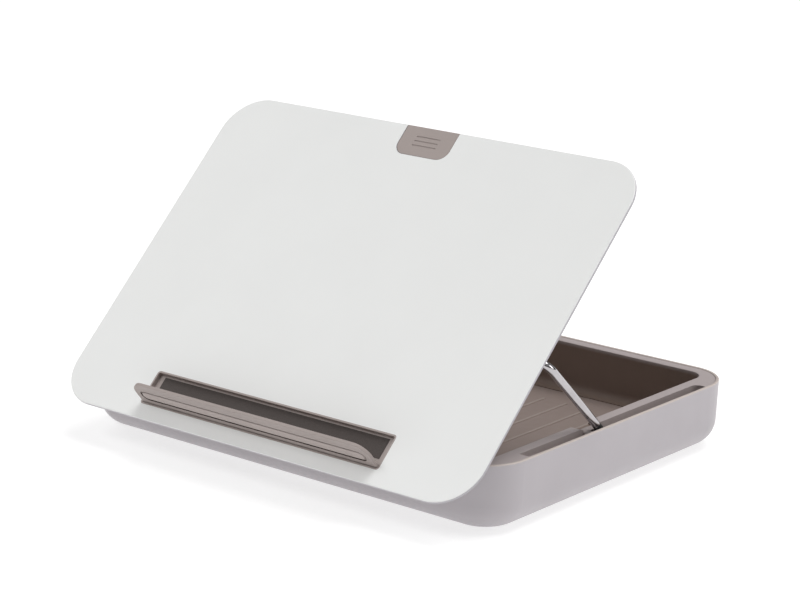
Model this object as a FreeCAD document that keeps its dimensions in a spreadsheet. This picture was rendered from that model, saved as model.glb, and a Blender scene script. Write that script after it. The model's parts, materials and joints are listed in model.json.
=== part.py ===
"""Tablet stand with a storage tray: a tilting board on a wire strut over a shallow lined tray.

Frame: +X along the long side, +Y towards the back, +Z up, millimetres. The origin is the
centre of the whole object's box on the surface that the tray stands on.
"""
import FreeCAD, Part
import math
import os
import re
import Sketcher

V = FreeCAD.Vector
doc = FreeCAD.newDocument("TabletStand")

# ---------------------------------------------------------------- driving dimensions
SIZES = {
    # tray, measured outside at its top edge
    "tray_width": 324.4, "tray_depth": 239.4, "tray_height": 41.0, "tray_corner": 27.5,
    "tray_taper": 2.5, "tray_bottom_round": 16.5, "tray_inner_round": 11.5, "lip_round": 0.7,
    "foot_lift": 1.0, "shell_wall": 2.0, "shell_floor": 2.4, "shell_gap": 0.15,
    # liner: rim, cavity and the strut's tracks
    "rim_drop": 0.5, "rim_side": 14.8, "rim_end": 6.8, "rim_underside": 10.0,
    "cavity_corner": 10.5, "cavity_taper": 2.5, "cavity_cove": 5.8, "cavity_floor": 10.0,
    "cavity_draw": 1.4, "mouth_round": 0.6, "liner_base_round": 5.0,
    "liner_skin": 1.8, "track_inner_x": 152.7, "track_slope": 1.5, "track_gap": 0.3,
    "track_front": 35.0, "track_step": 95.0, "track_start": 101.0, "track_back": 209.0,
    "track_end_round": 4.5, "saddle_drop": 3.1, "strip_restart": 110.0, "strip_chamfer": 3.0,
    # ribbed mat in the bottom of the cavity
    "mat_thick": 1.2, "mat_sink": 0.3, "mat_gap": 0.4, "mat_corner": 4.0,
    "rib_pitch": 17.2, "rib_count": 12, "rib_width": 2.0, "rib_height": 0.6,
    "rib_length": 170.0, "rib_round": 0.5,
    # board
    "board_width": 318.3, "board_depth": 233.1, "board_corner": 26.9, "board_edge": 0.6,
    "top_thick": 1.6, "base_thick": 1.9, "base_inset": 2.5,
    "board_tilt": 44.0, "lip_reach": 28.7, "pivot_gap": 0.3,
    # strut
    "rod_diameter": 5.0, "rod_bend": 7.0, "strut_x": 155.5, "strut_reach": 72.2,
    "strut_drop": 3.9, "tip_length": 5.0, "bearing_gap": 0.05,
    # hinge blocks of the strut
    "block_x": 120.0, "block_long": 24.0, "block_wide": 20.0, "bush_radius": 3.1,
    "cap_thick": 4.3, "block_screw_y": 7.2, "block_screw_x": 7.0,
    # folding ledge
    "ledge_width": 184.0, "ledge_rise": 19.2, "ledge_thick": 2.0, "ledge_corner": 9.5,
    "ledge_barrel": 1.2, "ledge_axis_v": 12.4, "ledge_lean": 5.0, "ledge_side_gap": 0.4,
    "ledge_edge": 0.35,
    "ledge_frame_wall": 1.0, "ledge_recess_floor": 0.7, "ledge_pin": 0.5,
    "grip_width": 176.0, "grip_height": 8.6, "grip_centre": 8.7, "grip_depth": 0.9,
    "grip_gap": 1.2,
    # tab in the upper edge of the board
    "tab_width": 40.0, "tab_depth": 21.0, "tab_corner": 7.5, "tab_gap": 0.25, "tab_thick": 2.6,
    # small parts
    "foot_radius": 8.0, "foot_thick": 1.6, "foot_x": 130.0, "foot_y": 87.0,
    "screw_radius": 1.5, "screw_head": 2.8, "screw_head_thick": 1.2, "liner_screw_long": 5.8,
    "hook_inner": 2.9, "hook_outer": 4.9, "hook_drop": 3.2, "hook_plate": 1.2,
    "hook_x": 112.0, "hook_long": 40.0, "hook_back": 17.5, "hook_edge": 0.4,
    "hole_gap": 0.2, "small_radius": 1.0, "small_head": 1.85, "small_head_thick": 0.8,
    "small_gap": 0.05, "small_head_gap": 0.1, "board_screw_long": 2.6, "hook_screw_long": 2.0,
    "board_screw_x": 146.0, "board_screw_mid_x": 60.0, "board_screw_front": 18.0,
    "board_screw_back": 190.0, "lid_pad_radius": 3.5, "lid_pad_thick": 0.9, "lid_pad_x": 149.0,
    "lid_pad_front": -16.0, "lid_pad_back": 186.0, "tab_line_long": 18.0,
    "tab_line_wide": 0.8, "tab_line_pitch": 3.2, "tab_line_deep": 0.35,
    "spring_long": 30.0, "spring_wide": 4.0, "spring_thick": 0.2, "ledge_pad_thick": 0.3,
    "ledge_pin_long": 7.0, "block_edge": 1.2,
}
sheet = doc.addObject("Spreadsheet::Sheet", "Sizes")
sheet.Label = "Sizes"
for row, (alias, value) in enumerate(SIZES.items(), start=1):
    sheet.set(f"A{row}", alias)
    sheet.set(f"B{row}", str(value))
    sheet.setAlias(f"B{row}", alias)
doc.recompute()


def size(alias):
    """A driving dimension, read from the sheet."""
    return float(sheet.get(alias))


def bind(obj, **formulas):
    """Bind properties of an object to formulas of sheet cells; __ in a name stands for a dot."""
    for prop, formula in formulas.items():
        cells = re.sub(r"\b[a-z]\w*\b(?!\()", lambda word: "Sizes." + word[0], formula)
        obj.setExpression(prop.replace("__", "."), cells)


# ---------------------------------------------------------------- derived places
TILT = math.radians(size("board_tilt"))
BOARD_THICK = size("top_thick") + size("base_thick")
BOARD_TOP_Z = size("pivot_gap") + BOARD_THICK
LEDGE_AXIS = V(0, size("ledge_axis_v") - size("lip_reach"), BOARD_TOP_Z - size("ledge_barrel"))
LEDGE_ANGLE = math.radians(size("board_tilt") - size("ledge_lean"))
# how far the upright ledge, the foremost point, reaches out over the tray's front face
OVERHANG = (size("ledge_edge")
            + (size("ledge_barrel") - size("ledge_edge")) * math.cos(LEDGE_ANGLE)
            + (size("ledge_rise") - size("ledge_edge")) * math.sin(LEDGE_ANGLE)
            - LEDGE_AXIS.y * math.cos(TILT) + LEDGE_AXIS.z * math.sin(TILT))
TRAY_FRONT_Y = (OVERHANG - size("tray_depth")) / 2
TRAY_CENTRE_Y = TRAY_FRONT_Y + size("tray_depth") / 2
TRAY_TOP_Z = size("foot_lift") + size("tray_height")
RIM_Z = TRAY_TOP_Z - size("rim_drop")

# The strut, the board and the tray make an isosceles triangle whose two equal sides are the
# strut and the board between lip and crossbar, so the feet run along one straight track.
LEG = math.hypot(size("strut_reach"), size("strut_drop"))
DROP_ANGLE = math.atan2(size("strut_drop"), size("strut_reach"))
LEG_ANGLE = -2 * math.radians(size("track_slope")) - (TILT - DROP_ANGLE)


def turned(origin, degrees):
    """A frame at origin, turned about the X axis."""
    return FreeCAD.Placement(origin, FreeCAD.Rotation(V(1, 0, 0), degrees))


TRAY = turned(V(0, TRAY_CENTRE_Y, 0), 0)
BOARD = turned(V(0, TRAY_FRONT_Y, TRAY_TOP_Z), size("board_tilt"))
STRUT = turned(BOARD.multVec(V(0, size("strut_reach"), -size("strut_drop"))),
               math.degrees(LEG_ANGLE))
LEDGE = turned(BOARD.multVec(LEDGE_AXIS), math.degrees(LEDGE_ANGLE))
subparts = []


def track_floor(y):
    """Height of the track's floor at a distance y behind the tray's front face."""
    slope = math.tan(math.radians(size("track_slope")))
    return TRAY_TOP_Z - y * slope - size("rod_diameter") / 2 - size("track_gap")


# ---------------------------------------------------------------- helpers
def keep(obj, label, frame):
    """Give a finished sub-part its label and place, and list it for export."""
    obj.Label = label
    obj.Placement = frame.multiply(obj.Placement)
    subparts.append(obj)
    return obj


def new_body(label, frame):
    return keep(doc.addObject("PartDesign::Body", label), label, frame)


def plane_of(body, role):
    for feature in body.Origin.OriginFeatures:
        if feature.Role == role:
            return feature
    raise ValueError(role)


def new_sketch(body, name, role="XY_Plane", offset=0.0):
    """A sketch on one of the body's own origin planes, moved along the plane's normal."""
    sketch = body.newObject("Sketcher::SketchObject", name)
    sketch.AttachmentSupport = [(plane_of(body, role), "")]
    sketch.MapMode = "FlatFace"
    sketch.AttachmentOffset = FreeCAD.Placement(V(0, 0, offset), FreeCAD.Rotation())
    return sketch


def constrain(sketch, constraint, formula=None, name=None):
    index = sketch.addConstraint(constraint)
    if name:
        sketch.renameConstraint(index, name)
        bind(sketch, **{"Constraints__" + name: formula})
    return index


def rounded_rectangle(sketch, wide, deep, corner, tag=""):
    """A rounded rectangle centred on the sketch's origin, its three sizes bound to formulas."""
    w, d, r = 60.0, 40.0, 5.0
    corners = [V(w, d, 0), V(-w, d, 0), V(-w, -d, 0), V(w, -d, 0)]
    arcs = []
    for n, point in enumerate(corners):
        centre = V(point.x - math.copysign(r, point.x), point.y - math.copysign(r, point.y), 0)
        start = n * math.pi / 2
        circle = Part.Circle(centre, V(0, 0, 1), r)
        arcs.append(sketch.addGeometry(Part.ArcOfCircle(circle, start, start + math.pi / 2), False))
    lines = []
    for n in range(4):
        a = sketch.getPoint(arcs[n], 2)
        b = sketch.getPoint(arcs[(n + 1) % 4], 1)
        lines.append(sketch.addGeometry(Part.LineSegment(a, b), False))
    for n in range(4):
        sketch.addConstraint(Sketcher.Constraint("Tangent", arcs[n], 2, lines[n], 1))
        sketch.addConstraint(Sketcher.Constraint("Tangent", lines[n], 2, arcs[(n + 1) % 4], 1))
        kind = "Horizontal" if n % 2 == 0 else "Vertical"
        sketch.addConstraint(Sketcher.Constraint(kind, lines[n]))
    for n in range(1, 4):
        sketch.addConstraint(Sketcher.Constraint("Equal", arcs[0], arcs[n]))
    sketch.addConstraint(Sketcher.Constraint("Symmetric", arcs[0], 3, arcs[2], 3, -1, 1))
    constrain(sketch, Sketcher.Constraint("Radius", arcs[0], r), corner, "corner" + tag)
    constrain(sketch, Sketcher.Constraint("DistanceX", lines[1], 1, lines[3], 1, 2 * w),
              wide, "wide" + tag)
    constrain(sketch, Sketcher.Constraint("DistanceY", lines[2], 1, lines[0], 1, 2 * d),
              deep, "deep" + tag)


def polygon(sketch, points):
    """A closed outline of straight edges through points given in the sketch's plane."""
    for n, (x, y) in enumerate(points):
        x2, y2 = points[(n + 1) % len(points)]
        sketch.addGeometry(Part.LineSegment(V(x, y, 0), V(x2, y2, 0)), False)


def pad(body, sketch, length, reverse=False, both=False, taper=None):
    feature = body.newObject("PartDesign::Pad", "Pad")
    return extrude(feature, sketch, length, reverse, both, taper)


def pocket(body, sketch, length, reverse=False, both=False, taper=None):
    feature = body.newObject("PartDesign::Pocket", "Pocket")
    return extrude(feature, sketch, length, reverse, both, taper)


def extrude(feature, sketch, length, reverse, both, taper):
    feature.Profile = sketch
    bind(feature, Length=length)
    feature.Reversed = reverse
    feature.Midplane = both
    if taper:
        bind(feature, TaperAngle=taper)
    sketch.Visibility = False
    doc.recompute()
    return feature


def edges_where(shape, test):
    """Names of the edges whose middle point passes a test."""
    names = []
    for n, edge in enumerate(shape.Edges, start=1):
        first, last = edge.ParameterRange
        if test(edge, edge.valueAt((first + last) / 2)):
            names.append(f"Edge{n}")
    return names


def level(z, tolerance=0.01):
    """A test for edges that lie flat at height z."""
    def at_level(edge, middle):
        ends = [v.Z for v in edge.Vertexes] + [middle.z]
        return all(abs(value - z) < tolerance for value in ends)
    return at_level


def round_edges(body, base, radius, test):
    feature = body.newObject("PartDesign::Fillet", "Fillet")
    feature.Base = (base, edges_where(base.Shape, test))
    bind(feature, Radius=radius)
    doc.recompute()
    return feature


def cylinder(radius, height, place, axis=V(0, 0, 1)):
    """A Part cylinder whose base centre is at place and which points along axis."""
    obj = doc.addObject("Part::Cylinder", "Cylinder")
    bind(obj, Radius=radius, Height=height)
    obj.Placement = FreeCAD.Placement(place, FreeCAD.Rotation(V(0, 0, 1), axis))
    return obj


def box(long, wide, high, place):
    """A Part box centred on place in X and Y, standing on place's height."""
    obj = doc.addObject("Part::Box", "Box")
    bind(obj, Length=long, Width=wide, Height=high)
    doc.recompute()
    half = V(obj.Length.Value / 2, obj.Width.Value / 2, 0)
    obj.Placement = FreeCAD.Placement(place - half, FreeCAD.Rotation())
    return obj


def cut(base, tool):
    obj = doc.addObject("Part::Cut", "Cut")
    obj.Base = base
    obj.Tool = tool
    return obj


def fuse(shapes):
    obj = doc.addObject("Part::MultiFuse", "Fuse")
    obj.Shapes = shapes
    return obj


def group(shapes, label, frame):
    """Identical small pieces, kept as separate solids of one node."""
    obj = doc.addObject("Part::Compound", label)
    obj.Links = shapes
    return keep(obj, label, frame)


def screw(place, axis, length, head="screw_head", shank="screw_radius"):
    """A pan-head screw: the head's outer face is at place and the shank points along axis."""
    cap = cylinder(head, "screw_head_thick", place, axis)
    rod = cylinder(shank, length, place + axis * size("screw_head_thick"), axis)
    return fuse([cap, rod])


def corners_of(x, y, z):
    return [V(sx * x, sy * y, z) for sx in (-1, 1) for sy in (-1, 1)]


# ---------------------------------------------------------------- tray
SHELL_FLOOR_Z = size("foot_lift") + size("shell_floor")
CAVITY_FLOOR_Z = size("foot_lift") + size("cavity_floor")
MAT_BASE_Z = CAVITY_FLOOR_Z - size("mat_sink") - size("mat_thick")
LINER_BASE_Z = MAT_BASE_Z - size("liner_skin")
LINER_HEIGHT = "tray_height - rim_drop - cavity_floor + mat_sink + mat_thick + liner_skin"


def make_tray_shell():
    body = new_body("tray_shell", TRAY)
    outline = new_sketch(body, "ShellOutline", offset=TRAY_TOP_Z)
    rounded_rectangle(outline, "tray_width", "tray_depth", "tray_corner")
    pad(body, outline, "tray_height", reverse=True, taper="-tray_taper")
    inside = new_sketch(body, "ShellInside", offset=TRAY_TOP_Z)
    rounded_rectangle(inside, "tray_width - 2 * shell_wall", "tray_depth - 2 * shell_wall",
                      "tray_corner - shell_wall")
    hollow = pocket(body, inside, "tray_height - shell_floor", taper="-tray_taper")
    soft = round_edges(body, hollow, "tray_inner_round", level(SHELL_FLOOR_Z))
    soft = round_edges(body, soft, "tray_bottom_round", level(size("foot_lift")))
    round_edges(body, soft, "lip_round", level(TRAY_TOP_Z))
    for radius, depth in (("foot_radius + hole_gap / 2", "foot_thick - foot_lift"),
                          ("screw_head + hole_gap", "foot_thick - foot_lift + screw_head_thick"),
                          ("screw_radius + hole_gap", "shell_floor")):
        drill(body, corners_of(size("foot_x"), size("foot_y"), 0), radius, depth,
              size("foot_lift"), reverse=True)


def drill(body, places, radius, depth, z, reverse=False):
    """Round pockets at places, from the level z."""
    sketch = new_sketch(body, "Drill", offset=z)
    for n, place in enumerate(places):
        circle = sketch.addGeometry(Part.Circle(V(place.x, place.y, 0), V(0, 0, 1), 1), False)
        constrain(sketch, Sketcher.Constraint("Radius", circle, 1), radius, f"radius{n}")
    return pocket(body, sketch, depth, reverse=reverse)


def stud(body, places, radius, height, z):
    """Round bosses at places, from the level z up."""
    sketch = new_sketch(body, "Stud", offset=z)
    for n, place in enumerate(places):
        circle = sketch.addGeometry(Part.Circle(V(place.x, place.y, 0), V(0, 0, 1), 1), False)
        constrain(sketch, Sketcher.Constraint("Radius", circle, 1), radius, f"radius{n}")
    return pad(body, sketch, height)


def make_tray_liner():
    body = new_body("tray_liner", TRAY)
    outline = new_sketch(body, "LinerOutline", offset=RIM_Z)
    rounded_rectangle(outline, "tray_width - 2 * shell_wall - 2 * shell_gap",
                      "tray_depth - 2 * shell_wall - 2 * shell_gap",
                      "tray_corner - shell_wall - shell_gap")
    pad(body, outline, LINER_HEIGHT, reverse=True, taper="-tray_taper")
    # hollow under the rim, outside the cavity's own wall
    around = new_sketch(body, "UnderRim", offset=LINER_BASE_Z)
    rounded_rectangle(around, "tray_width + 20", "tray_depth + 20", "tray_corner", "Outer")
    rounded_rectangle(around, "tray_width - 2 * shell_wall - 2 * rim_side + 2 * liner_skin",
                      "tray_depth - 2 * shell_wall - 2 * rim_end + 2 * liner_skin",
                      "cavity_corner + liner_skin", "Inner")
    stepped = pocket(body, around, LINER_HEIGHT + " - rim_underside", reverse=True)
    round_edges(body, stepped, "liner_base_round", level(LINER_BASE_Z))
    # cavity with steep walls and a cove round its floor
    mouth = new_sketch(body, "CavityMouth", offset=RIM_Z)
    rounded_rectangle(mouth, "tray_width - 2 * shell_wall - 2 * rim_side",
                      "tray_depth - 2 * shell_wall - 2 * rim_end", "cavity_corner")
    cavity = pocket(body, mouth, "tray_height - rim_drop - cavity_floor", taper="-cavity_taper")
    coved = round_edges(body, cavity, "cavity_cove", level(CAVITY_FLOOR_Z))
    round_edges(body, coved, "mouth_round", mouth_edges)
    recess = new_sketch(body, "MatRecess", offset=CAVITY_FLOOR_Z)
    floor_outline(recess, "0")
    pocket(body, recess, "mat_sink + mat_thick")
    cut_tracks(body)
    cut_hook_grooves(body)
    bosses = corners_of(size("foot_x"), size("foot_y"), 0)
    stud(body, bosses, "screw_radius + 2.5",
         "cavity_floor - mat_sink - mat_thick - liner_skin - shell_floor", SHELL_FLOOR_Z)
    drill(body, bosses, "screw_radius", "liner_screw_long - 0.5", SHELL_FLOOR_Z, reverse=True)


def mouth_edges(edge, middle):
    """The edges round the cavity's mouth, inside the rim."""
    inside_x = size("tray_width") / 2 - size("rim_side")
    inside_y = size("tray_depth") / 2 - size("rim_end")
    inside = abs(middle.x) < inside_x and abs(middle.y) < inside_y
    return inside and level(RIM_Z)(edge, middle)


def floor_outline(sketch, gap):
    """The cavity's flat floor inside its coves, drawn in by a gap."""
    inset = f"2 * (shell_wall + %s + cavity_draw + cavity_cove + {gap})"
    rounded_rectangle(sketch, "tray_width - " + inset % "rim_side",
                      "tray_depth - " + inset % "rim_end", f"mat_corner - {gap}")


def cut_tracks(body):
    """The two side tracks for the strut's feet, and the notches for its crossbar."""
    front = -size("tray_depth") / 2
    above = TRAY_TOP_Z + 1
    saddle = RIM_Z - size("saddle_drop") + size("rim_drop")
    start, step = size("track_front"), size("track_step")
    run, end = size("track_start"), size("track_back")
    track = [(start, above), (start, track_floor(start)), (step, track_floor(step)),
             (step, saddle), (run, saddle), (run, track_floor(run)), (end, track_floor(end)),
             (end, above)]
    chamfer, again = size("strip_chamfer"), size("strip_restart")
    shoulder = saddle + chamfer / 2
    for side in (1, -1):
        sketch = new_sketch(body, "Track", "YZ_Plane", side * size("track_inner_x"))
        polygon(sketch, [(y + front, z) for y, z in track])
        groove = pocket(body, sketch, "shell_wall + 8", reverse=side > 0)
        round_edges(body, groove, "track_end_round", track_end(side, end + front))
        notch = new_sketch(body, "Notch", "YZ_Plane", side * (size("track_inner_x") + 0.2))
        polygon(notch, [(y + front, z) for y, z in (
            (step - chamfer, above), (step - chamfer, RIM_Z), (step, shoulder), (step, saddle),
            (again, saddle), (again, above))])
        pocket(body, notch, "rim_side", reverse=side < 0)


def track_end(side, end_y):
    """A test for the upright inner edge at the back end of one track."""
    def is_end(edge, middle):
        upright = abs(edge.tangentAt(edge.FirstParameter).z) > 0.99
        near_x = abs(middle.x - side * size("track_inner_x")) < 0.1
        return upright and near_x and abs(middle.y - end_y) < 0.1
    return is_end


def cut_hook_grooves(body):
    """Grooves behind the front lip, for the hooks under the board."""
    sketch = new_sketch(body, "HookGrooves", offset=RIM_Z)
    front = -size("tray_depth") / 2
    near, far = size("shell_wall") - 0.5, size("hook_outer") + 1.5
    half = size("hook_long") / 2 + 1
    for side in (-1, 1):
        centre = side * size("hook_x")
        polygon(sketch, [(centre - half, front + near), (centre + half, front + near),
                         (centre + half, front + far), (centre - half, front + far)])
    pocket(body, sketch, "hook_drop - rim_drop + 0.5")


def make_floor_mat():
    body = new_body("floor_mat", TRAY)
    sketch = new_sketch(body, "MatOutline", offset=MAT_BASE_Z)
    floor_outline(sketch, "mat_gap")
    pad(body, sketch, "mat_thick")
    top_z = MAT_BASE_Z + size("mat_thick")
    rib = new_sketch(body, "Rib", offset=top_z)
    left = -size("rib_pitch") * (size("rib_count") - 1) / 2
    half_w, half_l = size("rib_width") / 2, size("rib_length") / 2
    polygon(rib, [(left - half_w, -half_l), (left + half_w, -half_l),
                  (left + half_w, half_l), (left - half_w, half_l)])
    ridge = pad(body, rib, "rib_height")
    row = body.newObject("PartDesign::LinearPattern", "RibRow")
    row.Originals = [ridge]
    row.Direction = (plane_of(body, "X_Axis"), [""])
    bind(row, Length="rib_pitch * (rib_count - 1)")
    row.Occurrences = int(size("rib_count"))
    body.Tip = row
    doc.recompute()
    round_edges(body, row, "rib_round", level(top_z + size("rib_height")))


def make_tray_small_parts():
    places = corners_of(size("foot_x"), size("foot_y"), 0)
    group([cylinder("foot_radius", "foot_thick", place) for place in places],
          "foot_pads", TRAY)
    head_z = size("foot_thick")
    group([screw(place + V(0, 0, head_z), V(0, 0, 1), "liner_screw_long")
           for place in places], "liner_screws", TRAY)


# ---------------------------------------------------------------- board
BASE_Z = size("pivot_gap")
TOP_Z = BASE_Z + size("base_thick")
BOARD_CENTRE = V(0, size("board_depth") / 2 - size("lip_reach"), 0)
RECESS_FRONT = -size("ledge_barrel") - 0.3
RECESS_BACK = size("ledge_rise") + 0.5


def shifted(body_sketch, centre):
    """Move a sketch within its plane, so that its origin is at centre."""
    offset = body_sketch.AttachmentOffset
    offset.Base = V(centre.x, centre.y, offset.Base.z)
    body_sketch.AttachmentOffset = offset
    return body_sketch


def board_outline(body, name, z, inset):
    sketch = shifted(new_sketch(body, name, offset=z), BOARD_CENTRE)
    rounded_rectangle(sketch, f"board_width - 2 * {inset}", f"board_depth - 2 * {inset}",
                      f"board_corner - {inset}")
    return sketch


def tab_outline(body, name, z, gap):
    """The tab's U-shaped outline, open side level with the board's upper edge, plus a gap."""
    sketch = new_sketch(body, name, offset=z)
    top = size("board_depth") - size("lip_reach") + (5 if gap else -size("board_edge") / 4)
    half = size("tab_width") / 2 + gap
    bottom = size("board_depth") - size("lip_reach") - size("tab_depth") - gap
    r = size("tab_corner") + gap
    sketch.addGeometry(Part.LineSegment(V(-half, top, 0), V(-half, bottom + r, 0)), False)
    left = Part.Circle(V(-half + r, bottom + r, 0), V(0, 0, 1), r)
    sketch.addGeometry(Part.ArcOfCircle(left, math.pi, 1.5 * math.pi), False)
    sketch.addGeometry(Part.LineSegment(V(-half + r, bottom, 0), V(half - r, bottom, 0)), False)
    right = Part.Circle(V(half - r, bottom + r, 0), V(0, 0, 1), r)
    sketch.addGeometry(Part.ArcOfCircle(right, 1.5 * math.pi, 2 * math.pi), False)
    sketch.addGeometry(Part.LineSegment(V(half, bottom + r, 0), V(half, top, 0)), False)
    sketch.addGeometry(Part.LineSegment(V(half, top, 0), V(-half, top, 0)), False)
    return sketch


def ledge_window(body, name, z, grow):
    """The opening that holds the ledge's frame."""
    centre_y = LEDGE_AXIS.y + (RECESS_FRONT + RECESS_BACK) / 2
    sketch = shifted(new_sketch(body, name, offset=z), V(0, centre_y, 0))
    extra = f"2 * ({grow})"
    rounded_rectangle(sketch, f"ledge_width + 2 * ledge_side_gap + {extra}",
                      f"ledge_rise + ledge_barrel + 0.8 + {extra}", f"1 + {grow}")
    return sketch


def board_screw_places():
    near, far = size("board_screw_front"), size("board_screw_back")
    rows = [V(side * size("board_screw_x"), y, 0)
            for side in (-1, 1) for y in (near, (near + far) / 2, far)]
    return rows + [V(side * size("board_screw_mid_x"), far, 0) for side in (-1, 1)]


def make_board_top():
    body = new_body("board_top", BOARD)
    plate = pad(body, board_outline(body, "TopOutline", TOP_Z, "0"), "top_thick")
    upper = level(TOP_Z + size("top_thick"))
    round_edges(body, plate, "board_edge", upper)
    pocket(body, ledge_window(body, "LedgeWindow", TOP_Z, "ledge_frame_wall + 0.05"),
           "top_thick + 1", reverse=True)
    pocket(body, tab_outline(body, "TabWindow", TOP_Z, size("tab_gap")), "top_thick + 1",
           reverse=True)
    drill(body, board_screw_places(), "small_radius", "board_screw_long - base_thick + 0.2",
          TOP_Z, reverse=True)


def make_board_base():
    body = new_body("board_base", BOARD)
    pad(body, board_outline(body, "BaseOutline", BASE_Z, "base_inset"), "base_thick")
    pocket(body, ledge_window(body, "LedgeWindow", BASE_Z, "ledge_frame_wall + 0.05"),
           "base_thick + 1", reverse=True)
    seat_z = BOARD_TOP_Z - size("tab_thick")
    pocket(body, tab_outline(body, "TabSeat", seat_z, size("tab_gap")), "tab_thick",
           reverse=True)
    clearance = "small_radius + small_gap"
    drill(body, board_screw_places(), clearance, "base_thick", BASE_Z, reverse=True)
    drill(body, board_screw_places(), "small_head + small_head_gap",
          "small_head_thick + small_gap", BASE_Z, reverse=True)
    drill(body, tab_screw_places(), clearance, "base_thick", BASE_Z, reverse=True)
    drill(body, block_screw_places(), "screw_radius", "1.7", BASE_Z, reverse=True)


def tab_screw_places():
    y = size("board_depth") - size("lip_reach") - size("tab_depth") / 2
    return [V(side * size("tab_width") / 4, y, 0) for side in (-1, 1)]


def block_screw_places():
    return [V(side * size("block_x") + dx * size("block_screw_x"),
              size("strut_reach") + dy * size("block_screw_y"), 0)
            for side in (-1, 1) for dx in (-1, 1) for dy in (-1, 1)]


def small_screw(place, length):
    """A tiny screw that points up, its head's face at place."""
    head = cylinder("small_head", "small_head_thick", place)
    return fuse([head, cylinder("small_radius", length, place)])


def make_tab_insert():
    body = new_body("tab_insert", BOARD)
    seat_z = BOARD_TOP_Z - size("tab_thick")
    plate = pad(body, tab_outline(body, "TabOutline", seat_z, 0), "tab_thick")
    round_edges(body, plate, "board_edge / 2", level(BOARD_TOP_Z))
    grips = new_sketch(body, "GripLines", offset=BOARD_TOP_Z)
    middle = size("board_depth") - size("lip_reach") - size("tab_depth") / 2
    half_long, half_wide = size("tab_line_long") / 2, size("tab_line_wide") / 2
    for n in (-1, 0, 1):
        y = middle + n * size("tab_line_pitch")
        polygon(grips, [(-half_long, y - half_wide), (half_long, y - half_wide),
                        (half_long, y + half_wide), (-half_long, y + half_wide)])
    pocket(body, grips, "tab_line_deep")
    drill(body, tab_screw_places(), "small_radius", "tab_thick - small_radius", seat_z,
          reverse=True)


def make_board_small_parts():
    group([small_screw(place + V(0, 0, BASE_Z), "board_screw_long")
           for place in board_screw_places()], "board_screws", BOARD)
    under = V(0, 0, BASE_Z - size("small_head_thick"))
    group([small_screw(place + under, "board_screw_long") for place in tab_screw_places()],
          "tab_screws", BOARD)
    pads = [V(side * size("lid_pad_x"), y, BASE_Z - size("lid_pad_thick"))
            for side in (-1, 1) for y in (size("lid_pad_front"), size("lid_pad_back"))]
    group([cylinder("lid_pad_radius", "lid_pad_thick", place) for place in pads], "lid_pads",
          BOARD)


def make_lip_hook(label, side):
    """A moulded cleat: a plate under the board with a hook that catches the tray's front lip."""
    body = new_body(label, BOARD)
    sketch = new_sketch(body, "HookProfile", "YZ_Plane",
                        side * size("hook_x") - size("hook_long") / 2)
    inner, outer, back = size("hook_inner"), size("hook_outer"), size("hook_back")
    under = BASE_Z - size("hook_plate")
    polygon(sketch, [(inner, BASE_Z), (inner, -size("hook_drop")), (outer, -size("hook_drop")),
                     (outer, under), (back, under), (back, BASE_Z)])
    solid = pad(body, sketch, "hook_long")
    round_edges(body, solid, "hook_edge", level(-size("hook_drop")))
    drill(body, hook_screw_places(side), "small_radius + small_gap", "hook_plate", under,
          reverse=True)


def hook_screw_places(side):
    y = (size("hook_outer") + size("hook_back")) / 2
    return [V(side * size("hook_x") + dx * size("hook_long") / 4, y, 0) for dx in (-1, 1)]


def make_hook_screws():
    under = BASE_Z - size("hook_plate") - size("small_head_thick")
    places = hook_screw_places(-1) + hook_screw_places(1)
    group([small_screw(place + V(0, 0, under), "hook_screw_long") for place in places],
          "hook_screws", BOARD)


# ---------------------------------------------------------------- strut and its bearings
def crossbar_tool(radius, side):
    """A cylinder on the crossbar's axis, longer than one hinge block."""
    start = V(side * size("block_x") - size("block_long") / 2 - 1, size("strut_reach"),
              -size("strut_drop"))
    return cylinder(radius, "block_long + 2", start, V(1, 0, 0))


def make_hinge(side, word):
    """One bearing of the crossbar: a block under the board, a cap below it and a split bush."""
    x, y, axis_z = side * size("block_x"), size("strut_reach"), -size("strut_drop")
    screws = [place for place in block_screw_places() if place.x * side > 0]

    def holes(radius, bottom, height):
        return [cylinder(radius, height, place + V(0, 0, bottom)) for place in screws]

    block = box("block_long", "block_wide", "strut_drop + pivot_gap", V(x, y, axis_z))
    tools = fuse([crossbar_tool("bush_radius", side)]
                 + holes("screw_radius", axis_z - 1, "strut_drop + pivot_gap + 2"))
    keep(cut(block, tools), "hinge_block_" + word, BOARD)

    under = axis_z - size("cap_thick")
    cap = box("block_long", "block_wide", "cap_thick", V(x, y, under))
    doc.recompute()
    soft = doc.addObject("Part::Fillet", "CapRound")
    soft.Base = cap
    rounds = edges_where(cap.Shape, lambda edge, middle: middle.z < under + 0.01)
    radius = size("block_edge")
    soft.Edges = [(int(name.removeprefix("Edge")), radius, radius) for name in rounds]
    tools = fuse([crossbar_tool("bush_radius", side)]
                 + holes("screw_radius", under - 1, "cap_thick + 2")
                 + holes("screw_head + hole_gap / 2", under - 1, "screw_head_thick + 1"))
    keep(cut(soft, tools), "hinge_cap_" + word, BOARD)

    start = V(x - size("block_long") / 2, y, axis_z)
    sleeve = cylinder("bush_radius", "block_long", start, V(1, 0, 0))
    keep(cut(sleeve, crossbar_tool("rod_diameter / 2 + bearing_gap", side)), "bush_" + word,
         BOARD)


def make_hinge_screws():
    under = -size("strut_drop") - size("cap_thick")
    group([screw(place + V(0, 0, under), V(0, 0, 1), "cap_thick + strut_drop + pivot_gap")
           for place in block_screw_places()], "hinge_screws", BOARD)


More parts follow.
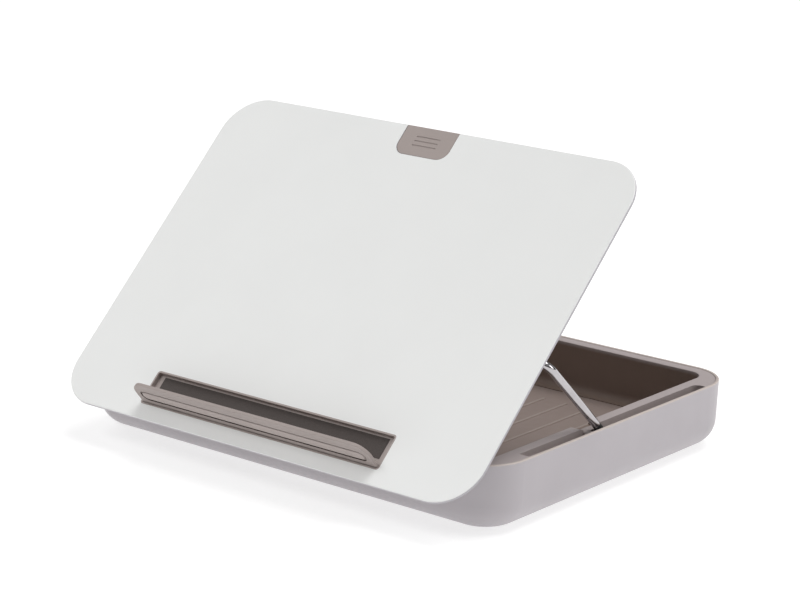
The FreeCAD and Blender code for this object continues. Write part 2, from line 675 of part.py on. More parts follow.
def make_strut():
    """The wire strut: a crossbar and two legs, in a frame whose Y runs down the legs."""
    rod, bend = "rod_diameter / 2", size("rod_bend")
    x = size("strut_x")
    pieces = [cylinder(rod, "2 * strut_x - 2 * rod_bend", V(-x + bend, 0, 0), V(1, 0, 0))]
    leg = "sqrt(strut_reach ^ 2 + strut_drop ^ 2) - tip_length - rod_bend"
    for side in (-1, 1):
        elbow = doc.addObject("Part::Torus", "Elbow")
        bind(elbow, Radius1="rod_bend", Radius2=rod)
        elbow.Angle3 = 90
        turn = -90 if side > 0 else -180
        elbow.Placement = FreeCAD.Placement(V(side * (x - bend), bend, 0),
                                            FreeCAD.Rotation(V(0, 0, 1), turn))
        pieces += [elbow, cylinder(rod, leg, V(side * x, bend, 0), V(0, 1, 0))]
    keep(fuse(pieces), "strut_bail", STRUT)
    tips = []
    for side in (-1, 1):
        start = V(side * x, LEG - size("tip_length"), 0)
        ball = doc.addObject("Part::Sphere", "TipEnd")
        bind(ball, Radius=rod)
        ball.Placement = FreeCAD.Placement(V(side * x, LEG, 0), FreeCAD.Rotation())
        tips.append(fuse([cylinder(rod, "tip_length", start, V(0, 1, 0)), ball]))
    group(tips, "foot_tips", STRUT)


# ---------------------------------------------------------------- folding ledge
def make_ledge_frame():
    """The recess that takes the folded ledge, let into board and base."""
    body = new_body("ledge_frame", BOARD)
    pad(body, ledge_window(body, "FrameOutline", BASE_Z, "ledge_frame_wall"),
        "top_thick + base_thick")
    floor_z = BASE_Z + size("ledge_recess_floor")
    pocket(body, ledge_window(body, "Recess", floor_z, "0"), "top_thick + base_thick",
           reverse=True)
    holes = new_sketch(body, "PinHoles", "YZ_Plane", 0)
    circle = Part.Circle(V(LEDGE_AXIS.y, LEDGE_AXIS.z, 0), V(0, 0, 1), 1)
    index = holes.addGeometry(circle, False)
    constrain(holes, Sketcher.Constraint("Radius", index, 1), "ledge_pin", "radius")
    pocket(body, holes, "ledge_width + 2 * ledge_side_gap + 2 * ledge_frame_wall", both=True)


def make_ledge_flap():
    """The flap, upright in its own frame: Z runs up the flap, Y into the board's slope."""
    body = new_body("ledge_flap", LEDGE)
    half, rise, r = size("ledge_width") / 2, size("ledge_rise"), size("ledge_corner")
    front = -size("ledge_barrel")
    sketch = new_sketch(body, "FlapOutline", "XZ_Plane", -front)
    sketch.addGeometry(Part.LineSegment(V(-half, 0, 0), V(half, 0, 0)), False)
    sketch.addGeometry(Part.LineSegment(V(half, 0, 0), V(half, rise - r, 0)), False)
    right = Part.Circle(V(half - r, rise - r, 0), V(0, 0, 1), r)
    sketch.addGeometry(Part.ArcOfCircle(right, 0, math.pi / 2), False)
    sketch.addGeometry(Part.LineSegment(V(half - r, rise, 0), V(-half + r, rise, 0)), False)
    left = Part.Circle(V(-half + r, rise - r, 0), V(0, 0, 1), r)
    sketch.addGeometry(Part.ArcOfCircle(left, math.pi / 2, math.pi), False)
    sketch.addGeometry(Part.LineSegment(V(-half, rise - r, 0), V(-half, 0, 0)), False)
    pad(body, sketch, "ledge_thick", reverse=True)
    barrel = new_sketch(body, "Barrel", "YZ_Plane", 0)
    index = barrel.addGeometry(Part.Circle(V(0, 0, 0), V(0, 0, 1), 1), False)
    constrain(barrel, Sketcher.Constraint("Radius", index, 1), "ledge_barrel", "radius")
    solid = pad(body, barrel, "ledge_width", both=True)
    round_edges(body, solid, "ledge_edge", level(rise))
    race = new_sketch(body, "GripPocket", "XZ_Plane", -front)
    race.AttachmentOffset = FreeCAD.Placement(V(0, size("grip_centre"), -front),
                                              FreeCAD.Rotation())
    rounded_rectangle(race, "grip_width", "grip_height", "grip_height / 2 - 0.05")
    pocket(body, race, "grip_depth")
    for side in (-1, 1):
        bore = new_sketch(body, "PinBore", "YZ_Plane", side * half)
        index = bore.addGeometry(Part.Circle(V(0, 0, 0), V(0, 0, 1), 1), False)
        constrain(bore, Sketcher.Constraint("Radius", index, 1), "ledge_pin + bearing_gap",
                  "radius")
        pocket(body, bore, "ledge_pin_long + 1", reverse=side < 0)


def make_ledge_grip():
    body = new_body("ledge_grip", LEDGE)
    face = size("ledge_barrel") - size("grip_depth")
    sketch = new_sketch(body, "GripOutline", "XZ_Plane", face)
    sketch.AttachmentOffset = FreeCAD.Placement(V(0, size("grip_centre"), face),
                                                FreeCAD.Rotation())
    rounded_rectangle(sketch, "grip_width - 2 * grip_gap", "grip_height - 2 * grip_gap",
                      "grip_height / 2 - grip_gap - 0.05")
    pad(body, sketch, "grip_depth")


def make_ledge_small_parts():
    half = size("ledge_width") / 2
    reach = size("ledge_side_gap") + size("ledge_frame_wall")
    pins = [cylinder("ledge_pin", "ledge_pin_long + ledge_side_gap + ledge_frame_wall",
                     LEDGE_AXIS + V(start, 0, 0), V(1, 0, 0))
            for start in (half - size("ledge_pin_long"), -half - reach)]
    group(pins, "ledge_pins", BOARD)
    floor_z = BASE_Z + size("ledge_recess_floor")
    leaves = [box("spring_long", "spring_wide", "spring_thick",
                  V(side * half * 0.6, LEDGE_AXIS.y + 1.5, floor_z)) for side in (-1, 1)]
    group(leaves, "ledge_springs", BOARD)
    middle = LEDGE_AXIS.y + (RECESS_BACK + size("spring_wide")) / 2
    keep(box("ledge_width - 8", "ledge_rise - 6", "ledge_pad_thick", V(0, middle, floor_z)),
         "ledge_pad", BOARD)


# ---------------------------------------------------------------- build and export
make_tray_shell()
make_tray_liner()
make_floor_mat()
make_tray_small_parts()
make_board_top()
make_board_base()
make_tab_insert()
make_board_small_parts()
make_lip_hook("lip_hook_left", -1)
make_lip_hook("lip_hook_right", 1)
make_hook_screws()
make_hinge(-1, "left")
make_hinge(1, "right")
make_hinge_screws()
make_strut()
make_ledge_frame()
make_ledge_flap()
make_ledge_grip()
make_ledge_small_parts()
doc.recompute()

for obj in doc.Objects:
    if "Invalid" in obj.State or "Error" in obj.State:
        raise RuntimeError(f"{obj.Label} failed: {obj.State}")
for part in subparts:
    if part.Shape.isNull() or not part.Shape.isValid():
        raise RuntimeError(f"{part.Label} has no valid shape")

os.makedirs("parts", exist_ok=True)
for part in subparts:
    part.Shape.exportStep(f"parts/{part.Label}.step")
    bounds = part.Shape.optimalBoundingBox()
    print(part.Label, len(part.Shape.Solids), round(part.Shape.Volume),
          [round(v, 2) for v in (bounds.XMin, bounds.YMin, bounds.ZMin,
                                 bounds.XMax, bounds.YMax, bounds.ZMax)])
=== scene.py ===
"""Looks of the tablet stand: a white tilting board on a chrome wire strut over a lined tray."""
import json
import math

import bmesh
import bpy
from mathutils import Matrix, Vector

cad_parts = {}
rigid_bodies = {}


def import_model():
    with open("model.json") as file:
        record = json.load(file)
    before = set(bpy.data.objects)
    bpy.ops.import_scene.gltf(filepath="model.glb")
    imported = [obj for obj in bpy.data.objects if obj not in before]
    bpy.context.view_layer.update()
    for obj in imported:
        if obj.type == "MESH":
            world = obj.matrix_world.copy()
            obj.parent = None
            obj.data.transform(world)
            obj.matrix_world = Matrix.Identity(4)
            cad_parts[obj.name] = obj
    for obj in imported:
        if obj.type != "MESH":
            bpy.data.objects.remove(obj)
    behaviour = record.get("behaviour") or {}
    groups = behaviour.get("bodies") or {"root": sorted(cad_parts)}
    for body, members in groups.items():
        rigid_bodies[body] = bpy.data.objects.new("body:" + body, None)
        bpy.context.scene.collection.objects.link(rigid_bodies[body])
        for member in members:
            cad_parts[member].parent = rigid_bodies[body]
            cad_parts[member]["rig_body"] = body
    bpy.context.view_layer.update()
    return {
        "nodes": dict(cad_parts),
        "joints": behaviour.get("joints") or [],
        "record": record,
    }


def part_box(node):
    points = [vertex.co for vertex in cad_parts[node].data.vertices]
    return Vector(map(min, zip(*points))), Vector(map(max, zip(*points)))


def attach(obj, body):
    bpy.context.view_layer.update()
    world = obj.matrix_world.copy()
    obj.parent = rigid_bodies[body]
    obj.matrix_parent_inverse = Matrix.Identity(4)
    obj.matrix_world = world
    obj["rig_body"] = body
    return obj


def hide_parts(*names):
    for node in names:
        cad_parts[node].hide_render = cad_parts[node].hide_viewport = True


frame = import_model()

MM = 0.001
nodes = frame["nodes"]
SLOTS = {part["node"]: part["material_slot"] for part in frame["record"]["subparts"]}
faces = {mount["name"]: Vector(mount["axis"]) for mount in frame["record"]["mounts"]}
ACROSS = Vector((1, 0, 0))
UPRIGHT = Vector((0, 0, 1))
BOARD_UP = faces["tablet_face"]
LEDGE_OUT = -faces["ledge_face"]
LEDGE_UP = ACROSS.cross(-LEDGE_OUT)


# ---------------------------------------------------------------- materials
def new_material(name):
    """An empty node material: its tree, its Principled shader and object coordinates."""
    material = bpy.data.materials.new(name)
    material.use_nodes = True
    tree = material.node_tree
    coords = tree.nodes.new("ShaderNodeTexCoord").outputs["Object"]
    return material, tree, tree.nodes["Principled BSDF"], coords


def noise(tree, coords, grain_mm, detail=2.0, roughness=0.5):
    """A noise whose features measure about grain_mm."""
    texture = tree.nodes.new("ShaderNodeTexNoise")
    texture.inputs["Scale"].default_value = 1 / (grain_mm * MM)
    texture.inputs["Detail"].default_value = detail
    texture.inputs["Roughness"].default_value = roughness
    tree.links.new(coords, texture.inputs["Vector"])
    return texture.outputs["Fac"]


def vary(tree, factor, low=0.0, high=1.0):
    """Map a noise's usual span onto low to high."""
    usual_low, usual_high = 0.3, 0.7
    span = tree.nodes.new("ShaderNodeMapRange")
    for socket, value in (("From Min", usual_low), ("From Max", usual_high), ("To Min", low),
                          ("To Max", high)):
        span.inputs[socket].default_value = value
    tree.links.new(factor, span.inputs["Value"])
    return span.outputs["Result"]


def mix_colours(tree, factor, first, second):
    """Blend two colours, each a tuple or another node's output."""
    blend = tree.nodes.new("ShaderNodeMix")
    blend.data_type = "RGBA"
    tree.links.new(factor, blend.inputs["Factor"])
    for socket, colour in ((blend.inputs[6], first), (blend.inputs[7], second)):
        if isinstance(colour, tuple):
            socket.default_value = (*colour, 1)
        else:
            tree.links.new(colour, socket)
    return blend.outputs[2]


def along(tree, source, direction, start, end):
    """0 to 1 as the object-space vector moves along a direction from start to end."""
    dot = tree.nodes.new("ShaderNodeVectorMath")
    dot.operation = "DOT_PRODUCT"
    dot.inputs[1].default_value = direction
    tree.links.new(source, dot.inputs[0])
    span = tree.nodes.new("ShaderNodeMapRange")
    span.interpolation_type = "SMOOTHSTEP"
    span.inputs["From Min"].default_value, span.inputs["From Max"].default_value = start, end
    tree.links.new(dot.outputs["Value"], span.inputs["Value"])
    return span.outputs["Result"]


def shade(material, factor, colour):
    """Blend a material's base colour towards a colour where the factor is high."""
    tree = material.node_tree
    base = tree.nodes["Principled BSDF"].inputs["Base Color"]
    blended = mix_colours(tree, factor, base.links[0].from_socket, colour)
    tree.links.new(blended, base)


def surface(material):
    """A material's tree, and its object-space place and normal."""
    tree = material.node_tree
    coords = next(node for node in tree.nodes if node.type == "TEX_COORD")
    return tree, coords.outputs["Object"], coords.outputs["Normal"]


def all_of(tree, first, *others):
    """The product of several factors."""
    for other in others:
        product = tree.nodes.new("ShaderNodeMath")
        product.operation = "MULTIPLY"
        tree.links.new(first, product.inputs[0])
        tree.links.new(other, product.inputs[1])
        first = product.outputs["Value"]
    return first


def add_bump(tree, shader, height, depth_mm):
    """Relief whose highest points stand depth_mm above its lowest."""
    bump = tree.nodes.new("ShaderNodeBump")
    bump.inputs["Distance"].default_value = depth_mm * MM
    bump.inputs["Strength"].default_value = 1.0
    tree.links.new(height, bump.inputs["Height"])
    tree.links.new(bump.outputs["Normal"], shader.inputs["Normal"])


def scaled(colour, factor):
    """A colour made lighter or darker by a factor."""
    return tuple(channel * factor for channel in colour)


def moulded(name, colour, rough, grain=0.35, depth=0.01, mottle=0.03):
    """Moulded plastic: a fine spark-eroded grain, faint cloudiness and uneven gloss."""
    cloud_mm, gloss_mm = 45, 8
    material, tree, shader, coords = new_material(name)
    cloud = noise(tree, coords, cloud_mm, detail=3)
    tint = mix_colours(tree, vary(tree, cloud), scaled(colour, 1 - mottle),
                       scaled(colour, 1 + mottle))
    tree.links.new(tint, shader.inputs["Base Color"])
    gloss = noise(tree, coords, gloss_mm, detail=4)
    tree.links.new(vary(tree, gloss, *rough), shader.inputs["Roughness"])
    add_bump(tree, shader, noise(tree, coords, grain), depth)
    return material


def chrome(name):
    """Polished plating with a faint film and slightly uneven gloss."""
    film_mm, gloss_mm = 12, 0.5
    material, tree, shader, coords = new_material(name)
    shader.inputs["Metallic"].default_value = 1.0
    film = noise(tree, coords, film_mm, detail=3)
    tint = mix_colours(tree, vary(tree, film), (0.44, 0.42, 0.43), (0.52, 0.50, 0.51))
    tree.links.new(tint, shader.inputs["Base Color"])
    gloss = noise(tree, coords, gloss_mm, detail=3)
    tree.links.new(vary(tree, gloss, 0.05, 0.11), shader.inputs["Roughness"])
    return material


def steel(name):
    """Screw steel, finely mottled in tint, gloss and relief."""
    material, tree, shader, coords = new_material(name)
    shader.inputs["Metallic"].default_value = 1.0
    grain = noise(tree, coords, 0.4, detail=4)
    tint = mix_colours(tree, vary(tree, grain), (0.48, 0.48, 0.49), (0.60, 0.60, 0.61))
    tree.links.new(tint, shader.inputs["Base Color"])
    tree.links.new(vary(tree, grain, 0.25, 0.42), shader.inputs["Roughness"])
    add_bump(tree, shader, grain, 0.01)
    return material


def felt(name, colour):
    """Dark felt with a mottled nap."""
    material, tree, shader, coords = new_material(name)
    fibres = noise(tree, coords, 0.5, detail=6, roughness=0.7)
    tint = mix_colours(tree, vary(tree, fibres), scaled(colour, 0.7), scaled(colour, 1.3))
    tree.links.new(tint, shader.inputs["Base Color"])
    shader.inputs["Roughness"].default_value = 0.95
    shader.inputs["Sheen Weight"].default_value = 0.3
    add_bump(tree, shader, fibres, 0.15)
    return material


LOOKS = {
    "tray_plastic": moulded("tray_plastic", (0.455, 0.425, 0.445), (0.40, 0.48)),
    "liner_plastic": moulded("liner_plastic", (0.36, 0.31, 0.30), (0.38, 0.46)),
    "mat_plastic": moulded("mat_plastic", (0.24, 0.188, 0.168), (0.5, 0.6), grain=0.5, depth=0.02),
    "ledge_plastic": moulded("ledge_plastic", (0.34, 0.29, 0.272), (0.4, 0.5)),
    "grip_plastic": moulded("grip_plastic", (0.40, 0.343, 0.322), (0.45, 0.55)),
    "board_white": moulded("board_white", (0.78, 0.785, 0.775), (0.34, 0.42), grain=0.25,
                           depth=0.004, mottle=0.008),
    "base_white": moulded("base_white", (0.70, 0.70, 0.71), (0.45, 0.55), mottle=0.015),
    "bearing_plastic": moulded("bearing_plastic", (0.30, 0.265, 0.255), (0.4, 0.5)),
    "bush_nylon": moulded("bush_nylon", (0.72, 0.70, 0.66), (0.35, 0.45)),
    # painted shade: the felt pad's near-black colour makes a dark sheet where the ledge's recess
    # lies in shade
    "felt_pad": felt("felt_pad", (0.06, 0.048, 0.044)),
    "tip_plastic": moulded("tip_plastic", (0.03, 0.03, 0.03), (0.35, 0.45)),
    "rubber": moulded("rubber", (0.07, 0.065, 0.065), (0.7, 0.85), grain=0.6, depth=0.03),
    "screw_steel": steel("screw_steel"),
    "strut_chrome": chrome("strut_chrome"),
}


def paint_liner_shade_and_highlight():
    """Painted shade darkens the cavity's walls and floor below the rim, and a painted highlight
    lightens the rim's up-facing top.
    """
    material = LOOKS["liner_plastic"]
    tree, place, normal = surface(material)
    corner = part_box("tray_liner")[1]
    top, rim = corner.z, 12 * MM
    inside = rim - corner.x
    # painted shade: warm dark brown deepening from just under the rim's top, inside the cavity's
    # side walls
    deep = all_of(tree, along(tree, place, -UPRIGHT, -top + 0.4 * MM, -top + 3 * MM),
                  along(tree, place, ACROSS, inside, inside + MM),
                  along(tree, place, -ACROSS, inside, inside + MM))
    shade(material, deep, (0.205, 0.148, 0.12))
    # painted highlight: the up-facing top of the rim is lightened
    painted_rim_highlight = all_of(tree, along(tree, place, UPRIGHT, top - 1.2 * MM, top - 0.4 * MM),
                   along(tree, normal, UPRIGHT, 0.3, 0.9))
    shade(material, painted_rim_highlight, (0.44, 0.385, 0.38))


def paint_mat_rib_highlights():
    """A painted highlight lightens the ribs' crests."""
    material = LOOKS["mat_plastic"]
    tree, place, _ = surface(material)
    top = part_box("floor_mat")[1].z
    # painted highlight on the top of each rib
    painted_crest_highlight = along(tree, place, UPRIGHT, top - 0.45 * MM, top - 0.1 * MM)
    shade(material, painted_crest_highlight, (0.29, 0.237, 0.212))


def paint_board_edge_shade():
    """Painted shade: the cut edge and underside, turned away from the top, are a darker lilac grey
    than the face.
    """
    material = LOOKS["board_white"]
    tree, _, normal = surface(material)
    # painted shade on faces turned away from the board's top
    edge = along(tree, normal, -BOARD_UP, -0.75, -0.2)
    shade(material, edge, (0.42, 0.40, 0.43))


def paint_ledge_groove_shade():
    """Painted shade, nearly black, in the groove round the grip."""
    material = LOOKS["ledge_plastic"]
    tree, place, _ = surface(material)
    groove, fade = 2.2 * MM, 0.3 * MM
    limits = []
    for direction, margin in ((LEDGE_OUT, 0), (LEDGE_UP, groove), (ACROSS, groove)):
        for way in (direction, -direction):
            reach = max(vertex.co.dot(way) for vertex in nodes["ledge_grip"].data.vertices)
            edge = -reach - margin
            limits.append(along(tree, place, -way, edge, edge + fade))
    # painted shade: near-black in the groove round the grip
    shade(material, all_of(tree, *limits), (0.05, 0.04, 0.035))


def paint_tray_lip_highlight():
    """A painted highlight turns the lip's rounded top edge a pale beige."""
    material = LOOKS["tray_plastic"]
    tree, place, _ = surface(material)
    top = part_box("tray_shell")[1].z
    # painted highlight along the top millimetre of the lip, all round
    painted_lip_highlight = along(tree, place, UPRIGHT, top - 1.0 * MM, top - 0.3 * MM)
    shade(material, painted_lip_highlight, (0.56, 0.49, 0.455))


paint_liner_shade_and_highlight()
paint_mat_rib_highlights()
paint_board_edge_shade()
paint_ledge_groove_shade()
paint_tray_lip_highlight()
for node, slot in SLOTS.items():
    mesh = nodes[node].data
    mesh.materials.clear()
    mesh.materials.append(LOOKS[slot])


# ---------------------------------------------------------------- pieces that stand for CAD nodes
def loose_parts(node):
    """The points of each separate solid of a CAD node."""
    mesh = nodes[node].data
    decimals = 6
    keys = [tuple(round(value, decimals) for value in vertex.co) for vertex in mesh.vertices]
    root = {key: key for key in keys}

    def find(key):
        while root[key] != key:
            root[key] = root[root[key]]
            key = root[key]
        return key

    for edge in mesh.edges:
        first, second = (find(keys[index]) for index in edge.vertices)
        root[first] = second
    groups = {}
    for key in root:
        groups.setdefault(find(key), []).append(Vector(key))
    return [groups[key] for key in sorted(groups)]


class Round:
    """The centre, axis and sizes of one round CAD solid whose axis is known."""

    def __init__(self, points, axis):
        third = axis.cross(ACROSS)
        spans = []
        for direction in (ACROSS, third, axis):
            values = [point.dot(direction) for point in points]
            spans.append((min(values), max(values)))
        self.axis, self.third = axis, third
        self.start, self.end = spans[2]
        self.radius = (spans[0][1] - spans[0][0]) / 2
        self.centre = (ACROSS * sum(spans[0]) + third * sum(spans[1])) / 2
        head_edge = 0.9 * self.radius
        wide = [point.dot(axis) for point in points
                if (point - self.centre - axis * point.dot(axis)).length > head_edge]
        self.head = max(wide) - self.start

    def point(self, radius, angle, height):
        """A point at a distance from the axis and a height above the solid's start."""
        ring = ACROSS * (radius * math.cos(angle)) + self.third * (radius * math.sin(angle))
        return self.centre + ring + self.axis * (self.start + height)


def mesh_object(name, builder, sharp=35):
    """A new mesh from a bmesh, smooth except where faces meet at more than an angle."""
    bmesh.ops.remove_doubles(builder, verts=builder.verts, dist=1e-7)
    bmesh.ops.recalc_face_normals(builder, faces=builder.faces)
    mesh = bpy.data.meshes.new(name)
    builder.to_mesh(mesh)
    builder.free()
    mesh.shade_smooth()
    mesh.set_sharp_from_angle(angle=math.radians(sharp))
    piece = bpy.data.objects.new(name, mesh)
    bpy.context.scene.collection.objects.link(piece)
    return piece


def stand_for(piece, node):
    """Give a piece a CAD node's body and material, and hide the node."""
    slot = SLOTS[node]
    piece.data.materials.clear()
    piece.data.materials.append(LOOKS[slot])
    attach(piece, nodes[node]["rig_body"])
    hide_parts(node)


def add_rings(builder, rings):
    """Faces between successive closed rings of points, and caps on the first and last."""
    loops = [[builder.verts.new(point) for point in ring] for ring in rings]
    for near, far in zip(loops, loops[1:]):
        for n in range(len(near)):
            after = (n + 1) % len(near)
            builder.faces.new((near[n], near[after], far[after], far[n]))
    builder.faces.new(list(reversed(loops[0])))
    builder.faces.new(loops[-1])


def lathe(builder, solid, profile, steps=40):
    """Turn a profile of (radius, height) about a round solid's axis."""
    angles = [2 * math.pi * n / steps for n in range(steps)]
    add_rings(builder, [[solid.point(radius, angle, height) for angle in angles]
                        for radius, height in profile])


# rings across a screw's recess, as shares of the head's radius
CROSS_RINGS = (0.2, 0.35, 0.5, 0.56)
# turned profiles: (share of the radius, share of the height above the solid's start)
PAN_HEAD = ((0.6, 0.05), (0.8, 0.12), (0.93, 0.28), (1.0, 0.55), (1.0, 0.98), (0.97, 1.0))
DOMED_PAD = ((0.05, 0.0), (0.35, 0.03), (0.55, 0.14), (0.7, 0.36), (0.78, 0.7), (0.82, 1.0))
FLAT_PAD = ((0.05, 0.16), (0.55, 0.16), (0.62, 0.1), (0.68, 0.0), (0.9, 0.0), (0.97, 0.06),
            (1.0, 0.2), (1.0, 1.0))
# the grip strip's crown: (distance in from its outline, rise above its plain face), millimetres
GRIP_CROWN = ((0.0, -0.3), (0.1, -0.1), (0.3, 0.03), (0.7, 0.16), (1.3, 0.27), (2.0, 0.33))


def screw_columns(arm, radius):
    """Angles round the head, with True where the cross recess is deep."""
    widest = 0.7
    edge = math.asin(min(arm / radius, widest))
    foot = 0.8 * edge
    quarter = [(-edge, False), (-foot, True), (0, True), (foot, True), (edge, False),
               (math.pi / 4, False)]
    return [(turn * math.pi / 2 + angle, deep) for turn in range(4) for angle, deep in quarter]


def add_screw(builder, solid):
    """A pan-head screw with a cross recess and a pointed, grooved shank."""
    head, thick, length = solid.radius, solid.head, solid.end - solid.start
    arm, face, depth = 0.13 * head, 0.04 * thick, 0.55 * thick
    rings = []
    for share in CROSS_RINGS:
        columns = screw_columns(arm, share * head)
        rings.append([solid.point(share * head, angle, depth if deep else face)
                      for angle, deep in columns])

    def turn(radius, height):
        """A ring in line with the recess's outermost one."""
        rings.append([solid.point(radius, angle, height) for angle, deep in columns])

    for share, rise in PAN_HEAD:
        turn(share * head, rise * thick)
    shank = 0.45 * head
    root, tip, pitch = 0.8 * shank, 0.3 * shank, 0.36 * shank
    height = thick
    while height < length - 1.5 * pitch:
        turn(root, height)
        turn(shank, height + pitch / 2)
        height += pitch
    turn(tip, length)
    add_rings(builder, rings)


def add_screws(node, axis):
    """Detailed screws in the places of a node's plain ones."""
    builder = bmesh.new()
    for points in loose_parts(node):
        add_screw(builder, Round(points, axis))
    stand_for(mesh_object(node + "_turned", builder, sharp=30), node)


def add_pads(node, axis, profile):
    """Moulded pads with a turned profile in the places of a node's plain ones."""
    builder = bmesh.new()
    for points in loose_parts(node):
        solid = Round(points, axis)
        high = solid.end - solid.start
        lathe(builder, solid, [(share * solid.radius, rise * high) for share, rise in profile])
    stand_for(mesh_object(node + "_moulded", builder), node)


def add_grip():
    """The soft grip strip of the ledge: a crowned bar with round ends in its groove."""
    points = loose_parts("ledge_grip")[0]
    spans = []
    for direction in (ACROSS, LEDGE_UP, LEDGE_OUT):
        reaches = [point.dot(direction) for point in points]
        spans.append((min(reaches), max(reaches)))
    half_long, half_high = ((high - low) / 2 for low, high in spans[:2])
    middle = (ACROSS * sum(spans[0]) + LEDGE_UP * sum(spans[1])) / 2
    deep, face = spans[2]
    straight = half_long - half_high
    steps = 16

    def outline(radius, level):
        """A round-ended loop at a level along the ledge's outward direction."""
        ring = []
        for side, start in ((1, -90), (-1, 90)):
            for n in range(steps + 1):
                angle = math.radians(start + n * 180 / steps)
                ring.append(middle + ACROSS * (side * straight + radius * math.cos(angle))
                            + LEDGE_UP * (radius * math.sin(angle)) + LEDGE_OUT * level)
        return ring

    crown = [outline(half_high - inset * MM, face + rise * MM) for inset, rise in GRIP_CROWN]
    builder = bmesh.new()
    add_rings(builder, [outline(half_high, deep)] + crown)
    stand_for(mesh_object("ledge_grip_crowned", builder, sharp=40), "ledge_grip")


def add_strut():
    """The strut as one bent wire, swept smoothly from foot to foot."""
    bend, inside_tip, quarter_arc_handle = 7 * MM, 5 * MM, 0.5523
    hinge = next(joint for joint in frame["joints"] if joint["name"] == "strut_fold")["pos_m"]
    crossbar = Vector((0, hinge[1], hinge[2]))
    feet = []
    for points in loose_parts("foot_tips"):
        low, high = (Vector(pick(point[n] for point in points) for n in range(3))
                     for pick in (min, max))
        rod = (high.x - low.x) / 2
        feet.append(Vector((low.x + rod, high.y - rod, low.z + rod)))
    feet.sort(key=lambda foot: foot.x)
    leg = feet[0] - crossbar - ACROSS * feet[0].x
    down = leg.normalized()
    stop = leg.length - inside_tip
    handle = quarter_arc_handle * bend
    stations = []
    for foot in feet:
        side = math.copysign(1, foot.x)
        corner = crossbar + ACROSS * foot.x
        run = [(corner + down * stop, down), (corner + down * bend, down),
               (corner - ACROSS * side * bend, ACROSS * side)]
        stations += run if side < 0 else [(place, -way) for place, way in reversed(run)]
    curve = bpy.data.curves.new("strut_wire", "CURVE")
    curve.dimensions = "3D"
    curve.bevel_depth, curve.bevel_resolution, curve.resolution_u = rod, 10, 16
    curve.use_fill_caps = True
    spline = curve.splines.new("BEZIER")
    spline.bezier_points.add(len(stations) - 1)
    for knot, (place, way) in zip(spline.bezier_points, stations):
        knot.co = place
        knot.handle_left, knot.handle_right = place + way * handle, place - way * handle
    wire = bpy.data.objects.new("strut_wire", curve)
    bpy.context.scene.collection.objects.link(wire)
    bpy.context.view_layer.update()
    mesh = bpy.data.meshes.new_from_object(wire)
    bpy.data.objects.remove(wire)
    mesh.shade_smooth()
    piece = bpy.data.objects.new("strut_wire_bent", mesh)
    bpy.context.scene.collection.objects.link(piece)
    stand_for(piece, "strut_bail")


add_strut()
add_grip()
for node, axis in (("liner_screws", UPRIGHT), ("board_screws", BOARD_UP), ("tab_screws", BOARD_UP),
                   ("hook_screws", BOARD_UP), ("hinge_screws", BOARD_UP)):
    add_screws(node, axis)
add_pads("foot_pads", UPRIGHT, FLAT_PAD)
add_pads("lid_pads", BOARD_UP, DOMED_PAD)


# ---------------------------------------------------------------- floor, light and camera
def add_floor():
    """A wide pale floor, lit up a little so that it stays even."""
    bpy.ops.mesh.primitive_plane_add(size=30, location=(0, 0, 0))
    floor = bpy.context.object
    floor.name = "floor"
    material, _, shader, _ = new_material("floor")
    shader.inputs["Base Color"].default_value = (0.45, 0.45, 0.45, 1)
    shader.inputs["Roughness"].default_value = 0.9
    shader.inputs["Specular IOR Level"].default_value = 0.1
    shader.inputs["Emission Color"].default_value = (1, 1, 1, 1)
    shader.inputs["Emission Strength"].default_value = 0.66
    floor.data.materials.append(material)


def add_softbox(name, place, width, height, power):
    """A rectangular area light that faces the middle of the object."""
    target = Vector((0, 0, 0.07))
    light = bpy.data.lights.new(name, "AREA")
    light.shape = "RECTANGLE"
    light.size, light.size_y = width, height
    light.energy = power
    lamp = bpy.data.objects.new(name, light)
    bpy.context.scene.collection.objects.link(lamp)
    lamp.location = place
    lamp.rotation_euler = (target - Vector(place)).to_track_quat("-Z", "Y").to_euler()


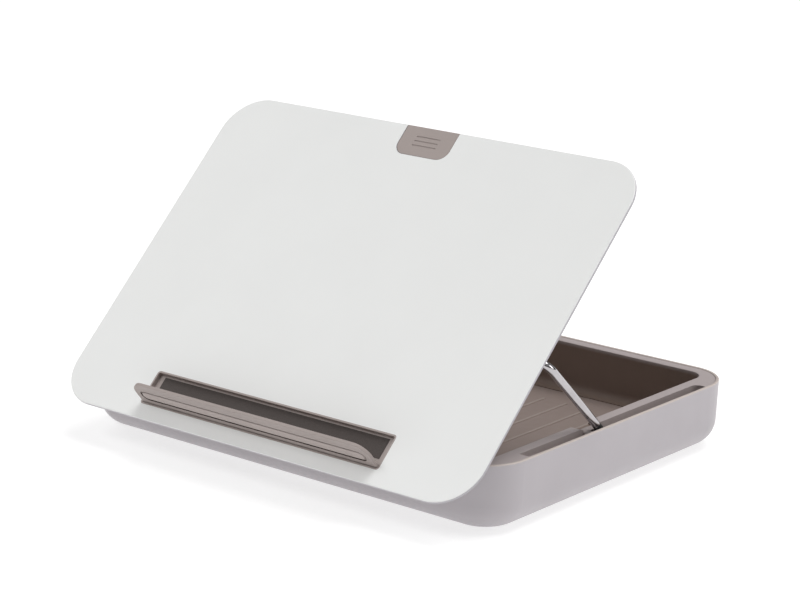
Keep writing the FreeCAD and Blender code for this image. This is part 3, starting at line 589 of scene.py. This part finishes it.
def add_camera():
    """The eye stands to the right of the front, slightly above, and looks just past the middle."""
    azimuth, elevation, roll = (math.radians(a) for a in (39.85, 15.41, 0.53))
    distance, aside, up_by = 1.62647, -0.00393, 0.01991
    behind_front, above_tray = 0.12, 0.0217
    lens_mm, sensor_mm = 119.93, 36
    tray_low, tray_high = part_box("tray_shell")
    aim = Vector((0, tray_low.y + behind_front, tray_high.z + above_tray))
    back = Vector((math.sin(azimuth) * math.cos(elevation),
                   -math.cos(azimuth) * math.cos(elevation), math.sin(elevation)))
    level = Vector((math.cos(azimuth), math.sin(azimuth), 0))
    upward = back.cross(level)
    right = math.cos(roll) * level + math.sin(roll) * upward
    upward = back.cross(right)
    place = aim + back * distance + right * aside + upward * up_by
    data = bpy.data.cameras.new("camera")
    data.lens, data.sensor_width = lens_mm, sensor_mm
    camera = bpy.data.objects.new("camera", data)
    bpy.context.scene.collection.objects.link(camera)
    facing = Matrix((right, upward, back)).transposed().to_4x4()
    camera.matrix_world = Matrix.Translation(place) @ facing
    bpy.context.scene.camera = camera


def add_light():
    """A studio that is bright above, dim at the horizon, with soft boxes round the object."""
    world = bpy.data.worlds.new("studio")
    world.use_nodes = True
    tree = world.node_tree
    coords = tree.nodes.new("ShaderNodeTexCoord").outputs["Generated"]
    split = tree.nodes.new("ShaderNodeSeparateXYZ")
    tree.links.new(coords, split.inputs["Vector"])
    ramp = tree.nodes.new("ShaderNodeValToRGB")
    ramp.color_ramp.elements[0].position, ramp.color_ramp.elements[1].position = 0.1, 0.75
    ramp.color_ramp.elements[0].color = (0.08, 0.08, 0.085, 1)
    ramp.color_ramp.elements[1].color = (0.42, 0.42, 0.42, 1)
    tree.links.new(split.outputs["Z"], ramp.inputs["Fac"])
    tree.links.new(ramp.outputs["Color"], tree.nodes["Background"].inputs["Color"])
    bpy.context.scene.world = world
    bpy.context.scene.view_settings.view_transform = "Standard"
    sun = bpy.data.lights.new("sky_panel", "SUN")
    sun.energy, sun.angle = 1.7, math.radians(40)
    panel = bpy.data.objects.new("sky_panel", sun)
    bpy.context.scene.collection.objects.link(panel)
    panel.rotation_euler = Vector((-0.2, -0.3, -1)).to_track_quat("-Z", "Y").to_euler()
    add_softbox("side", (1.7, 0.9, 0.8), width=1.0, height=1.0, power=9)
    add_softbox("front", (-0.9, -1.6, 1.9), width=1.4, height=1.0, power=22)


add_floor()
add_light()
add_camera()
